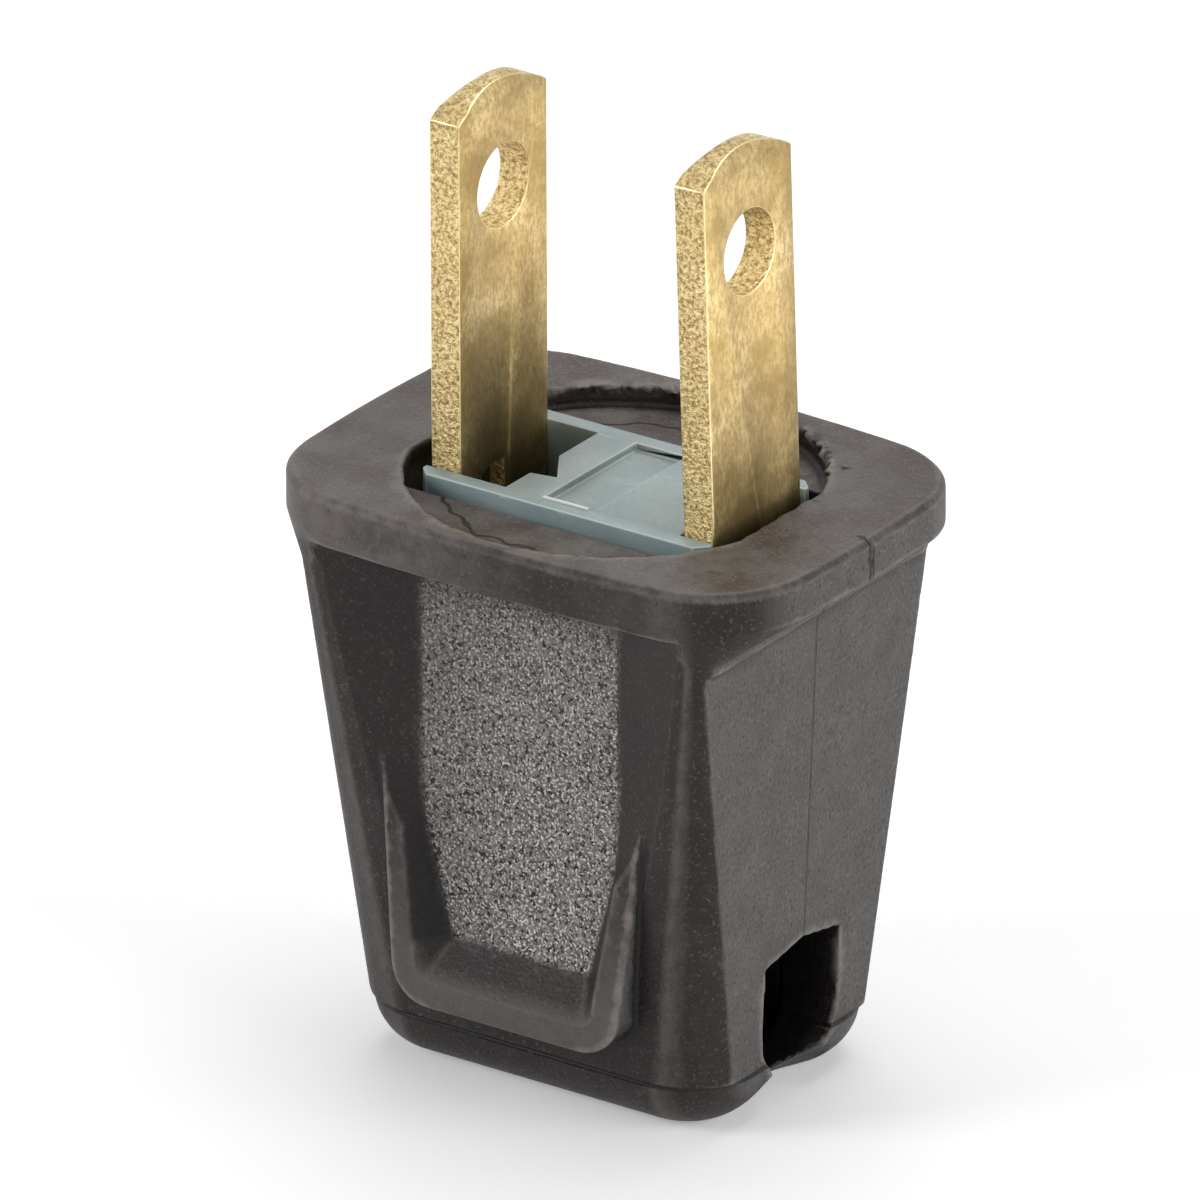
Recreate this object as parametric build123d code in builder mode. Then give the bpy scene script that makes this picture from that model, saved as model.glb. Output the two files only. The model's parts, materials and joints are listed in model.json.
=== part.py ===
"""Straight blade plug for two-wire flat cord, in millimetres.

The moulded housing stands on its closed foot, with its open mouth and flange on top.
A nylon carrier slides into the mouth and holds two brass blades, each pivoted at its
foot, with a pointed tooth that pierces the cord when the blades stand upright.
X runs from blade to blade, and the cord leaves through the +X face. Y is the depth.
"""

import os
from math import cos, hypot, radians, sin, tan

from build123d import *

# Housing heights, from the foot up
housing_height = 26.3
flange_band = 1.8
flange_slope = 1.6
foot_height = 2.4
foot_draft = 10.0
foot_round = 2.6

# Flange outline, with sides that bow outwards between rounded corners
flange_length = 24.6
flange_width = 17.4
flange_corner = 5.0
flange_end_bow = 0.45
flange_side_bow = 0.85
flange_edge = 0.25

# Body under the flange, which narrows towards the foot
shoulder_length = 20.8
shoulder_width = 17.2
shoulder_corner = 1.1
foot_length = 19.2
foot_width = 13.3
foot_corner = 3.4
foot_step = 0.12
relief_width = 6.0
relief_depth = 0.64
relief_tilt = 38

# Flat panels on the two ends
panel_span_top = 20.2
panel_span_foot = 18.4
panel_top_gap = 0.5

# Finger recess in each broad face, given by drops below the flange top
recess_depth_from_axis = 7.0
recess_top_drop = 2.3
recess_bend_drop = 11.3
recess_inner_drop = 14.6
recess_foot_drop = 19.4
recess_end_drop = 20.6
recess_floor_half = 4.9
recess_inner_half = 4.75
recess_foot_half = 3.5
recess_flare = 2.4
recess_flare_growth = 0.06
recess_inner_flare = 0.65
ramp_flare = 0.62
ramp_slope = 1.24
ramp_corner = 0.4
ramp_corner_growth = 0.3

# Finger stop that stands proud round the lower end of each recess
stop_back = 5.0
stop_top_reach = 7.67
stop_foot_drop = 22.5
stop_foot_reach = 8.55
stop_top_half = 6.82
stop_foot_half = 5.65
stop_corner = 2.0
stop_draft = 2.5
stop_edge = 0.15

# Mouth, cavity and cord chamber of the housing
mouth_diameter = 17.6
mouth_margin = 0.05
mouth_depth = 0.9
cavity_corner = 0.6
cavity_end_draft = 0.4
cavity_side_draft = 0.1
floor_thickness = 1.1
chamber_shoulder = 1.0

# Cord outlet in the +X face, and the split in the flange above it
outlet_width = 5.45
outlet_gable = 0.5
outlet_drop = 0.25
split_width = 0.35
split_depth = 0.5
split_height = 2.6

# Nylon blade carrier
carrier_end_margin = 0.41
neck_step = 0.3
carrier_width = 8.3
carrier_height = 18.3
neck_above_pivot = 3.0
carrier_sink = 0.3
carrier_corner = 0.5
carrier_floor = 1.1
carrier_clearance = 0.3
block_length = 6.4
cord_slot_length = 3.0
cord_slot_width = 6.0
cord_slot_roof = 3.4
web_thickness = 2.2
panel_sink = 0.35
panel_left = 1.3
panel_right = 1.1
web_sink = 0.1

# Brass blades
blade_spacing = 12.7
blade_width = 6.35
sheet = 0.74
blade_reach = 16.15
tip_rise = 0.95
tip_bevel = 0.32
bevel_height = 0.6
hole_diameter = 3.7
hole_from_tip = 4.65
blade_gap = 0.2
foot_below_pivot = 1.2
foot_clearance = 0.3
ear_height = 1.3
ear_reach = 0.8
pivot_clearance = 0.2
right_lean = 1.8

# Piercing tooth, cut from the inner layer of the blade and bent inwards
tooth_width = 2.1
tooth_offset = 1.0
tooth_top_drop = 0.75
tooth_length = 5.2
tooth_curve = 1.4
tooth_belly = 3.4
tooth_tip = 0.4
tooth_clearance = 0.3
tooth_rise = 2.1
notch_depth = 1.2
notch_heel = 0.45

# Heights and places worked out from the sizes above
flange_underside = housing_height - flange_band
shoulder_height = flange_underside - flange_slope
ledge_height = housing_height - mouth_depth
carrier_top = housing_height - carrier_sink
seat_height = carrier_top - carrier_height
pivot_height = seat_height + carrier_floor + foot_clearance + foot_below_pivot
pivot_drop = housing_height - pivot_height
left_pivot = -blade_spacing / 2
right_pivot = blade_spacing / 2 + pivot_drop * tan(radians(right_lean))
pocket_half = blade_width / 2 + blade_gap
carrier_length = blade_spacing + 2 * (sheet + carrier_end_margin)
carrier_neck_length = carrier_length - 2 * neck_step
cavity_length = carrier_length + 2 * carrier_clearance
cavity_width = carrier_width + 2 * carrier_clearance
mouth_length = cavity_length + 2 * (cavity_end_draft + mouth_margin)
ear_radius = hypot(sheet, ear_height / 2)
tooth_bend = pivot_drop - tooth_top_drop - tooth_length
beyond = 20.0
recess_reach = beyond / 2 - recess_depth_from_axis


def bowed_outline(length, width, end_bow, side_bow, corner):
    """A rectangle with bowed sides and rounded corners."""
    end = length / 2
    side = width / 2
    with BuildSketch() as outline:
        with BuildLine():
            ThreePointArc((-end, -side), (0, -side - side_bow), (end, -side))
            ThreePointArc((end, -side), (end + end_bow, 0), (end, side))
            ThreePointArc((end, side), (0, side + side_bow), (-end, side))
            ThreePointArc((-end, side), (-end - end_bow, 0), (-end, -side))
        make_face()
        fillet(outline.vertices(), corner)
    return outline.sketch


def recess_section(floor_half, flare):
    """The finger recess in plan at one height: a flat floor between flared walls."""
    mouth_half = floor_half + flare * recess_reach
    with BuildSketch() as section:
        with BuildLine():
            Polyline(
                (-floor_half, -recess_depth_from_axis),
                (floor_half, -recess_depth_from_axis),
                (mouth_half, -beyond / 2),
                (-mouth_half, -beyond / 2),
                close=True,
            )
        make_face()
    return section.sketch


def recess_flare_at(drop):
    """Flare of the recess walls, which grows from the flange towards the foot."""
    return recess_flare + recess_flare_growth * (drop - recess_top_drop)


def ramp_section(outward):
    """The lower recess at a distance out from its floor, where its foot is rounded and lower."""
    top = housing_height - recess_inner_drop
    foot = housing_height - recess_foot_drop - ramp_slope * outward
    top_half = recess_inner_half + recess_inner_flare * outward
    foot_half = recess_foot_half + ramp_flare * outward
    with BuildSketch() as section:
        with BuildLine():
            Polyline((-foot_half, foot), (foot_half, foot), (top_half, top), (-top_half, top), close=True)
        make_face()
        fillet(section.vertices().group_by(Axis.Y)[0], ramp_corner + ramp_corner_growth * outward)
    return section.sketch


# Finger stop, a pad with drafted sides whose face slopes out towards the foot
stop_foot = housing_height - stop_foot_drop
stop_top = housing_height - recess_bend_drop

with BuildPart() as finger_stop:
    with BuildSketch(Plane.XZ.offset(stop_back)) as stop_outline:
        with BuildLine():
            Polyline(
                (-stop_top_half, stop_top),
                (stop_top_half, stop_top),
                (stop_foot_half, stop_foot),
                (-stop_foot_half, stop_foot),
                close=True,
            )
        make_face()
        fillet(stop_outline.vertices().group_by(Axis.Y)[0], stop_corner)
    extrude(amount=beyond / 4, taper=stop_draft)
    with BuildSketch(Plane.YZ):
        with BuildLine():
            Polyline(
                (-stop_foot_reach, stop_foot),
                (-stop_top_reach, stop_top),
                (-beyond, stop_top),
                (-beyond, stop_foot),
                close=True,
            )
        make_face()
    extrude(amount=beyond, both=True, mode=Mode.SUBTRACT)
    chamfer(finger_stop.faces().sort_by(Axis.Y)[0].edges().sort_by(Axis.Z)[:-1], stop_edge)

# Flared recess that runs down the whole broad face, until the face itself narrows into it
with BuildPart() as flared_recess:
    for drop in (recess_top_drop, recess_end_drop):
        with BuildSketch(Plane.XY.offset(housing_height - drop)):
            add(recess_section(recess_floor_half, recess_flare_at(drop)))
    loft(ruled=True)

# Inside of the finger stop: walls that close in below the bend, then a ramp at the foot
with BuildPart() as stop_recess:
    for drop, floor_half, flare in (
        (recess_bend_drop, recess_floor_half, recess_flare_at(recess_bend_drop)),
        (recess_inner_drop, recess_inner_half, recess_inner_flare),
    ):
        with BuildSketch(Plane.XY.offset(housing_height - drop)):
            add(recess_section(floor_half, flare))
    loft(ruled=True)
    for outward in (0, recess_reach):
        with BuildSketch(Plane.XZ.offset(recess_depth_from_axis + outward)):
            add(ramp_section(outward))
    loft(ruled=True)

# Housing, moulded in one piece
with BuildPart() as housing:
    with BuildSketch(Plane.XY.offset(foot_height)):
        RectangleRounded(foot_length, foot_width, foot_corner)
    with BuildSketch(Plane.XY.offset(shoulder_height)):
        RectangleRounded(shoulder_length, shoulder_width, shoulder_corner)
    loft(ruled=True)
    with BuildSketch(Plane.XZ):
        for side in (-1, 1):
            with BuildLine():
                Polyline(
                    (side * panel_span_top / 2, shoulder_height - panel_top_gap),
                    (side * panel_span_foot / 2, foot_height),
                    (side * beyond, foot_height),
                    (side * beyond, shoulder_height - panel_top_gap),
                    close=True,
                )
            make_face()
    extrude(amount=beyond, both=True, mode=Mode.SUBTRACT)
    with BuildSketch(Plane.XY.offset(flange_underside)):
        add(bowed_outline(flange_length, flange_width, flange_end_bow, flange_side_bow, flange_corner))
    extrude(amount=flange_band)
    with BuildSketch(Plane.XY.offset(flange_underside)):
        add(bowed_outline(flange_length, flange_width, flange_end_bow, flange_side_bow, flange_corner))
    with BuildSketch(Plane.XY.offset(shoulder_height)):
        RectangleRounded(shoulder_length, shoulder_width, shoulder_corner)
    loft(ruled=True)
    with BuildSketch(Plane.XY.offset(foot_height)):
        RectangleRounded(panel_span_foot + 2 * foot_step, foot_width + 2 * foot_step, foot_corner)
    extrude(amount=-foot_height, taper=foot_draft)
    fillet(housing.edges().group_by(Axis.Z)[0], foot_round)
    chamfer(housing.faces().sort_by(Axis.Z)[-1].edges(), flange_edge)
    for cutter, mode in ((flared_recess, Mode.SUBTRACT), (finger_stop, Mode.ADD), (stop_recess, Mode.SUBTRACT)):
        add(cutter.part, mode=mode)
        add(cutter.part.mirror(Plane.XZ), mode=mode)

    # Round mouth with a ledge, and the drafted cavity that the carrier slides in
    with BuildSketch(Plane.XY.offset(housing_height)):
        Circle(mouth_diameter / 2)
        Rectangle(mouth_length, mouth_diameter, mode=Mode.INTERSECT)
    extrude(amount=-mouth_depth, mode=Mode.SUBTRACT)
    with BuildSketch(Plane.XY.offset(ledge_height)):
        RectangleRounded(
            cavity_length + 2 * cavity_end_draft,
            cavity_width + 2 * cavity_side_draft,
            cavity_corner,
        )
    with BuildSketch(Plane.XY.offset(seat_height)):
        RectangleRounded(cavity_length, cavity_width, cavity_corner)
    loft(ruled=True, mode=Mode.SUBTRACT)

    # Cord chamber under the carrier, and its outlet with a low gable and round foot
    with BuildSketch(Plane.XY.offset(seat_height)):
        RectangleRounded(
            carrier_length - 2 * chamber_shoulder,
            carrier_width - 2 * chamber_shoulder,
            cavity_corner,
        )
    extrude(amount=floor_thickness - seat_height, mode=Mode.SUBTRACT)
    with BuildSketch(Plane.YZ):
        with BuildLine():
            outlet_top = seat_height - outlet_drop
            outlet_half = outlet_width / 2
            Polyline(
                (-outlet_half, floor_thickness + outlet_half),
                (-outlet_half, outlet_top - outlet_gable),
                (0, outlet_top),
                (outlet_half, outlet_top - outlet_gable),
                (outlet_half, floor_thickness + outlet_half),
            )
            ThreePointArc(
                (outlet_half, floor_thickness + outlet_half),
                (0, floor_thickness),
                (-outlet_half, floor_thickness + outlet_half),
            )
        make_face()
    extrude(amount=beyond, mode=Mode.SUBTRACT)

    # Shallow round relief across the foot's edge below the outlet, where the cord bends away
    relief_radius = (relief_width ** 2 / 4 + relief_depth ** 2) / (2 * relief_depth)
    relief_reach = foot_round + relief_radius - relief_depth
    tilt = radians(relief_tilt)
    relief_x = panel_span_foot / 2 + foot_step - foot_round + relief_reach * sin(tilt)
    relief_z = foot_round - relief_reach * cos(tilt)
    relief_plane = Plane(origin=(relief_x, 0, relief_z), x_dir=(0, 1, 0), z_dir=(cos(tilt), 0, sin(tilt)))
    with BuildSketch(relief_plane):
        Circle(relief_radius)
    extrude(amount=2 * foot_round, both=True, mode=Mode.SUBTRACT)

    # Split in the flange edge, at the mould's parting line
    with BuildSketch(Plane.XY.offset(housing_height)):
        with BuildLine():
            flange_end = flange_length / 2 + flange_end_bow
            Polyline(
                (flange_end - split_depth, split_width / 2),
                (flange_end + split_depth, 0),
                (flange_end + split_depth, split_width),
                close=True,
            )
        make_face()
    extrude(amount=-split_height, mode=Mode.SUBTRACT)

# Nylon carrier, with a pocket for each blade beside a block that holds the cord
with BuildPart() as blade_carrier:
    with BuildSketch(Plane.XY.offset(seat_height)) as carrier_outline:
        Rectangle(carrier_length, carrier_width)
        chamfer(carrier_outline.vertices(), carrier_corner)
    extrude(amount=carrier_height)
    neck_foot = pivot_height + neck_above_pivot
    with BuildSketch(Plane.XY.offset(neck_foot)) as neck_outline:
        Rectangle(beyond * 2, beyond * 2)
        with BuildSketch(mode=Mode.PRIVATE) as neck:
            Rectangle(carrier_neck_length, carrier_width)
            chamfer(neck.vertices(), carrier_corner)
        add(neck.sketch, mode=Mode.SUBTRACT)
    extrude(amount=beyond, mode=Mode.SUBTRACT)

    # Left pocket, open at the top with a notch that lets the tooth rise
    with BuildSketch(Plane.XY.offset(seat_height + carrier_floor)):
        with BuildLine():
            notch_start = -tooth_offset - tooth_width / 2 + notch_heel
            notch_end = notch_start + tooth_width
            Polyline(
                (-beyond, -pocket_half),
                (-block_length / 2, -pocket_half),
                (-block_length / 2, notch_start),
                (-block_length / 2 + notch_depth, notch_start + notch_heel / 2),
                (-block_length / 2, notch_end),
                (-block_length / 2, pocket_half),
                (-beyond, pocket_half),
                close=True,
            )
        make_face()
    extrude(amount=carrier_height, mode=Mode.SUBTRACT)

    # Right pocket, closed at the top by a web that leaves a slot for its blade
    with BuildSketch(Plane.XY.offset(seat_height + carrier_floor)):
        with Locations(((block_length / 2 + beyond) / 2, 0)):
            Rectangle(beyond - block_length / 2, 2 * pocket_half)
    extrude(amount=carrier_height - carrier_floor - web_thickness, mode=Mode.SUBTRACT)
    with BuildSketch(Plane.XY.offset(carrier_top)):
        blade_inner = blade_spacing / 2 - sheet - blade_gap
        with Locations(((blade_inner + beyond) / 2, 0)):
            Rectangle(beyond - blade_inner, 2 * pocket_half)
    extrude(amount=-web_thickness, mode=Mode.SUBTRACT)

    # Cord slot up the middle of the block, and a slot through each wall for a tooth
    with BuildSketch(Plane.XY.offset(seat_height)):
        Rectangle(cord_slot_length, cord_slot_width)
    extrude(amount=carrier_height - cord_slot_roof, mode=Mode.SUBTRACT)
    slot_low = pivot_height + tooth_bend - sheet - tooth_clearance
    slot_high = pivot_height + tooth_bend + tooth_rise
    for side in (-1, 1):
        with BuildSketch(Plane.YZ.offset(side * cord_slot_length / 4)):
            with Locations((side * tooth_offset, (slot_low + slot_high) / 2)):
                Rectangle(tooth_width + 2 * tooth_clearance, slot_high - slot_low)
        extrude(amount=side * (block_length + sheet) / 2, mode=Mode.SUBTRACT)

    # Pivot notches through both side walls, open at the ends for the ears to snap in
    with BuildSketch(Plane.XZ):
        for pivot, side in ((left_pivot, -1), (right_pivot, 1)):
            with Locations((pivot, pivot_height)):
                Circle(ear_radius + pivot_clearance)
            with Locations((pivot + side * carrier_corner * 2, pivot_height)):
                Rectangle(carrier_corner * 4, ear_height + pivot_clearance)
    extrude(amount=beyond, both=True, mode=Mode.SUBTRACT)

    # Sunk panel on top, with a shallower step beside it
    with BuildSketch(Plane.XY.offset(carrier_top)):
        with Locations(((panel_right - panel_left) / 2, 0)):
            Rectangle(panel_left + panel_right, 2 * pocket_half)
    extrude(amount=-panel_sink, mode=Mode.SUBTRACT)
    with BuildSketch(Plane.XY.offset(carrier_top)):
        with Locations(((panel_right + blade_inner) / 2, 0)):
            Rectangle(blade_inner - panel_right, 2 * pocket_half)
    extrude(amount=-web_sink, mode=Mode.SUBTRACT)


def brass_blade(pivot, inward, lean):
    """One blade with its ears and tooth, built on its pivot axis and leaning inwards."""
    seat = Plane((pivot, 0, pivot_height), x_dir=(inward, 0, 0), z_dir=(0, 0, 1)).rotated((0, -lean, 0))
    face = Plane(seat.origin, x_dir=seat.y_dir, z_dir=seat.x_dir)
    edge = Plane(seat.origin, x_dir=seat.x_dir, z_dir=-seat.y_dir)
    tip = pivot_drop + blade_reach
    half = blade_width / 2
    with BuildPart() as blade:
        with BuildSketch(face):
            with BuildLine():
                Polyline(
                    (-half, tip - tip_rise),
                    (-half, -foot_below_pivot),
                    (half, -foot_below_pivot),
                    (half, tip - tip_rise),
                )
                ThreePointArc((half, tip - tip_rise), (0, tip), (-half, tip - tip_rise))
            make_face()
            Rectangle(blade_width + 2 * ear_reach, ear_height)
            with Locations((0, tip - hole_from_tip)):
                Circle(hole_diameter / 2, mode=Mode.SUBTRACT)
        extrude(amount=sheet, both=True)

        # Bevels on both broad faces, which leave a narrow land along the tip
        with BuildSketch(edge):
            for side in (-1, 1):
                with BuildLine():
                    Polyline(
                        (side * sheet, tip - bevel_height),
                        (side * (sheet - tip_bevel), tip),
                        (side * (sheet - tip_bevel), tip + bevel_height),
                        (side * 2 * sheet, tip + bevel_height),
                        (side * 2 * sheet, tip - bevel_height),
                        close=True,
                    )
                make_face()
        extrude(amount=blade_width, both=True, mode=Mode.SUBTRACT)

        # Window that the tooth was cut from, in the inner layer only
        with BuildSketch(face) as window:
            with Locations((-tooth_offset, tooth_bend + tooth_length / 2)):
                Rectangle(tooth_width, tooth_length)
            fillet(window.vertices().group_by(Axis.Y)[-1].sort_by(Axis.X)[0], tooth_curve)
        extrude(amount=2 * sheet, mode=Mode.SUBTRACT)

        # Tooth, bent square to the blade, with one curved side running to its point
        outer = -tooth_offset - tooth_width / 2
        inner = -tooth_offset + tooth_width / 2
        point = sheet + tooth_length
        with BuildSketch(Plane(seat.origin + seat.z_dir * tooth_bend, x_dir=seat.x_dir, z_dir=seat.z_dir)):
            with BuildLine():
                Polyline(
                    (point - tooth_width, outer),
                    (0, outer),
                    (0, inner),
                    (point - tooth_tip, inner),
                    (point, inner - tooth_tip),
                )
                RadiusArc((point, inner - tooth_tip), (point - tooth_width, outer), tooth_belly)
            make_face()
        extrude(amount=-sheet)
    return blade.part


blade_left = brass_blade(left_pivot, 1, 0)
blade_right = brass_blade(right_pivot, -1, right_lean)

os.makedirs("parts", exist_ok=True)
for name, piece in (
    ("housing", housing.part),
    ("blade_carrier", blade_carrier.part),
    ("blade_left", blade_left),
    ("blade_right", blade_right),
):
    piece.label = name
    export_step(piece, f"parts/{name}.step")
    box = piece.bounding_box()
    print(name, round(piece.volume, 1), "mm3", len(piece.solids()), "solid", box.min, box.max)
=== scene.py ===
# %% [markdown]
# A two-wire straight blade plug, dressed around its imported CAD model. The housing is a
# dark brown moulding, the carrier in its mouth is natural nylon, and the two blades are
# stamped brass. Everything is in metres, in the CAD model's own frame, so each surface
# is finished where it stands and nothing is moved.

# %% Load the fixed frame
import json
from math import cos, radians, sin

import bpy
import numpy as np
from mathutils import Matrix, Vector, noise

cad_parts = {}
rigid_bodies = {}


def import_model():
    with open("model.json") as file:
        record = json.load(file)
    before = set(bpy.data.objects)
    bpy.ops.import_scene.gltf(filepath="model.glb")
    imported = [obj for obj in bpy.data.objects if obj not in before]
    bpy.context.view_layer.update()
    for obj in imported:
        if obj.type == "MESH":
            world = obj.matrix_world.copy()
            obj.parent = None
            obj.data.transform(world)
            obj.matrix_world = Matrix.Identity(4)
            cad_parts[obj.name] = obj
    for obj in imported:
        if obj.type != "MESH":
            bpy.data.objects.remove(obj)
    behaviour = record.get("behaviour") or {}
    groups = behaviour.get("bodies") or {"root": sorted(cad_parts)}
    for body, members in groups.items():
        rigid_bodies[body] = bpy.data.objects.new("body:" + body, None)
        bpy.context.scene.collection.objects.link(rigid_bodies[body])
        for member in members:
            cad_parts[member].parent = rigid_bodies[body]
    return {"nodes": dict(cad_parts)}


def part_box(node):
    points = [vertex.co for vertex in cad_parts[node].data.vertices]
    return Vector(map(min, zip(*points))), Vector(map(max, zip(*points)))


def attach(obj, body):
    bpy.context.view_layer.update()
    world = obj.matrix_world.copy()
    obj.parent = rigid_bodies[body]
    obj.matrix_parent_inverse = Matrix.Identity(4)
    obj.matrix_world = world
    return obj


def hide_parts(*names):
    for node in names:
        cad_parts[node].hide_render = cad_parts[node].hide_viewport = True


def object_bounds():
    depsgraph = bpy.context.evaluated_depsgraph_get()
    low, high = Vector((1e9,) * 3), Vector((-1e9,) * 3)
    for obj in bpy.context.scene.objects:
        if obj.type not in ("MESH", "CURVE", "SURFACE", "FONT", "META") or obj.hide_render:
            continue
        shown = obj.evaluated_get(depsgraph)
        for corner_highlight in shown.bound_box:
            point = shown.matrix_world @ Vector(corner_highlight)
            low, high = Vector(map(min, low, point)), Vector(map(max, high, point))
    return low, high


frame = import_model()
cad_low, cad_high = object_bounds()
MM = 0.001
_, housing_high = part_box("housing")
flange_top = housing_high.z
print("CAD box, mm:", [round(v / MM, 2) for v in (*cad_low, *cad_high)])

# %% [markdown]
# The plug was photographed from the front right and a little above, with a long lens, so
# its upright edges stay almost parallel. The camera stands a metre off and is turned and
# slid sideways until the middle of the flange falls where it does in the picture.

# %% Camera
PICTURE_WIDTH_PX = 1200
VIEW_AZIMUTH = 34.72
VIEW_ELEVATION = 24.2
VIEW_ROLL = -0.17
VIEW_DISTANCE = 1.0
PX_PER_MM = 24.14
FLANGE_CENTRE_PX = (615.57, 470.16)
SENSOR_MM = 36.0
CLIP_NEAR, CLIP_FAR = 0.1, 20.0


def photo_camera():
    """A long-lens camera that puts the centre of the flange top on its place in the picture."""
    azimuth, elevation, roll = radians(VIEW_AZIMUTH), radians(VIEW_ELEVATION), radians(VIEW_ROLL)
    back = Vector((sin(azimuth) * cos(elevation), -cos(azimuth) * cos(elevation), sin(elevation)))
    level = Vector((cos(azimuth), sin(azimuth), 0))
    falling = (-back).cross(level)
    right = cos(roll) * level - sin(roll) * falling
    down = sin(roll) * level + cos(roll) * falling
    half = PICTURE_WIDTH_PX / 2
    aside = (FLANGE_CENTRE_PX[0] - half) / PX_PER_MM * MM
    below = (FLANGE_CENTRE_PX[1] - half) / PX_PER_MM * MM
    place = Vector((0, 0, flange_top)) + back * VIEW_DISTANCE - right * aside - down * below
    turn = Matrix((right, -down, back)).transposed().to_4x4()
    bpy.ops.object.camera_add()
    camera = bpy.context.object
    camera.name = "photo_camera"
    camera.matrix_world = Matrix.Translation(place) @ turn
    camera.data.sensor_width = SENSOR_MM
    camera.data.lens = PX_PER_MM / MM * VIEW_DISTANCE / PICTURE_WIDTH_PX * SENSOR_MM
    camera.data.clip_start = CLIP_NEAR
    camera.data.clip_end = CLIP_FAR
    bpy.context.scene.camera = camera
    return camera


camera = photo_camera()
print("Lens, mm:", round(camera.data.lens, 1))

# %% [markdown]
# A product table: a wide pale floor and three large soft lamps. The one on the right
# lights the flat end panel and the blades' broad faces, the one on the left skims over
# the grained recess, and the one overhead lights the flange. The side towards the camera
# is left dim, which is what makes the corner between them dark.

# %% Floor and lamps
FLOOR_SIZE = 6.0
LAMPS = {  # name: (place in metres, side in metres, power in watts)
    "lamp_right": ((0.50, 0.05, 0.16), 0.40, 1.6),
    "lamp_left": ((-0.36, -0.40, 0.26), 0.22, 1.25),
    "lamp_overhead": ((-0.05, 0.18, 0.55), 0.45, 1.5),
}
bpy.context.scene.view_settings.view_transform = "Standard"


def soft_lamp(name, place, size, power):
    """A square area lamp that faces the middle of the flange and isn't seen by the camera."""
    bpy.ops.object.light_add(type="AREA", location=place)
    lamp = bpy.context.object
    lamp.name = name
    lamp.data.shape = "SQUARE"
    lamp.data.size = size
    lamp.data.energy = power
    lamp.rotation_mode = "QUATERNION"
    towards_plug = Vector((0, 0, flange_top)) - Vector(place)
    lamp.rotation_quaternion = towards_plug.to_track_quat("-Z", "Y")
    lamp.visible_camera = False


for name, (place, size, power) in LAMPS.items():
    soft_lamp(name, place, size, power)

bpy.ops.mesh.primitive_plane_add(size=FLOOR_SIZE, location=(0, 0, 0))
floor = bpy.context.object
floor.name = "studio_floor"
print("Lamps:", len(LAMPS), "Floor, m:", FLOOR_SIZE)

# %% [markdown]
# The CAD solids have the right shape, but every edge is knife sharp, and real edges catch
# the light. Each node is copied, its doubled corners are merged and its flat faces made
# whole again, and then the copy can be softened and stands in for the node.

# %% Copies of the CAD nodes
MERGE_WITHIN = 0.001 * MM


def merged_copy(node, name):
    """A merged copy of a CAD node as a new object, selected and active."""
    bpy.ops.object.select_all(action="DESELECT")
    source = frame["nodes"][node]
    source.select_set(True)
    bpy.context.view_layer.objects.active = source
    bpy.ops.object.duplicate()
    piece = bpy.context.object
    piece.name = name
    for key in [key for key in piece.keys() if key.startswith("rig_")]:
        del piece[key]
    piece.data.materials.clear()
    bpy.ops.object.parent_clear(type="CLEAR_KEEP_TRANSFORM")
    bpy.ops.object.mode_set(mode="EDIT")
    bpy.ops.mesh.select_all(action="SELECT")
    bpy.ops.mesh.remove_doubles(threshold=MERGE_WITHIN)
    bpy.ops.mesh.normals_make_consistent(inside=False)
    bpy.ops.object.mode_set(mode="OBJECT")
    return piece


# %% [markdown]
# Two more steps are the same for every piece. A modifier is set and applied at once, so
# that what comes next works on the finished mesh. And when a piece is done it rides on
# its body and takes the CAD node's place.

# %% Modifiers, and standing in for a node


def apply_modifier(piece, kind, **settings):
    """Adds one modifier with its settings and applies it."""
    modifier = piece.modifiers.new(kind.lower(), kind)
    for name, value in settings.items():
        setattr(modifier, name, value)
    bpy.ops.object.select_all(action="DESELECT")
    piece.select_set(True)
    bpy.context.view_layer.objects.active = piece
    bpy.ops.object.modifier_apply(modifier=modifier.name)


def stand_in(piece, node, body):
    """Lets the finished piece take the CAD node's place."""
    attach(piece, body)
    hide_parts(node)
    triangles = sum(len(face.vertices) - 2 for face in piece.data.polygons)
    print(piece.name, "triangles:", triangles)


# %% [markdown]
# The blades and the carrier are plain prisms with a few curves. Dissolving their flat
# faces first leaves clean edges, so a small bevel with two segments rounds them evenly.
# Stamped brass gets a tiny radius, and moulded nylon a slightly larger one. The rounded
# faces are kept apart, because edges are rubbed brighter than the faces between them.

# %% Edges of the blades and the carrier
BLADE_EDGE_RADIUS = 0.045 * MM
CARRIER_EDGE_RADIUS = 0.06 * MM
FLAT_WITHIN = radians(0.5)
SHARP_FROM = radians(32)
SMOOTH_BELOW = radians(40)


def soften(piece, radius, finishes):
    """Dissolves flat faces and rounds every sharp edge, whose faces get the last finish."""
    for _ in range(finishes):
        piece.data.materials.append(None)
    bpy.ops.object.mode_set(mode="EDIT")
    bpy.ops.mesh.select_all(action="SELECT")
    bpy.ops.mesh.dissolve_limited(angle_limit=FLAT_WITHIN)
    bpy.ops.object.mode_set(mode="OBJECT")
    apply_modifier(piece, "BEVEL", width=radius, segments=2, limit_method="ANGLE",
                   angle_limit=SHARP_FROM, use_clamp_overlap=True, material=finishes - 1)
    bpy.ops.object.shade_smooth_by_angle(angle=SMOOTH_BELOW)


blades = {}
for side in ("left", "right"):
    blades[side] = merged_copy(f"blade_{side}", f"brass_blade_{side}")
    soften(blades[side], BLADE_EDGE_RADIUS, finishes=3)
    stand_in(blades[side], f"blade_{side}", f"{side}_blade")
nylon = merged_copy("blade_carrier", "nylon_carrier")
soften(nylon, CARRIER_EDGE_RADIUS, finishes=2)
stand_in(nylon, "blade_carrier", "carrier")

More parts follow.
